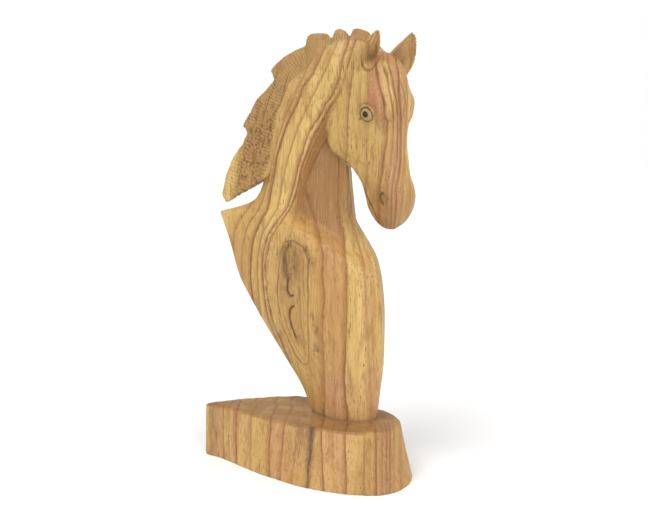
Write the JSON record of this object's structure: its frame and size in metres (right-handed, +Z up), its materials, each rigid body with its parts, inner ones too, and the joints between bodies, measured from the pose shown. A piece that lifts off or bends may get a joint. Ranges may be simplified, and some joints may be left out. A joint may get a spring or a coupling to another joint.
{
  "type": "driftwood horse head sculpture",
  "caption": "Horse head and neck carved from one block of pale wood, its mane cut in locks, standing on a leaf-shaped stand of the same piece.",
  "frame": {"origin": "on the stand's flat underside, below the middle of the neck's thickness", "axes": "+Z up, +X the way the horse's chest faces, +Y to the horse's left"},
  "size_m": [0.2068, 0.0979, 0.4026],
  "materials": {
    "driftwood": "pale tan wood with pink-brown heart streaks, sanded and lightly waxed, satin"
  },
  "bodies": {
    "root": {"horse_head_carving": "driftwood"}
  },
  "joints": []
}
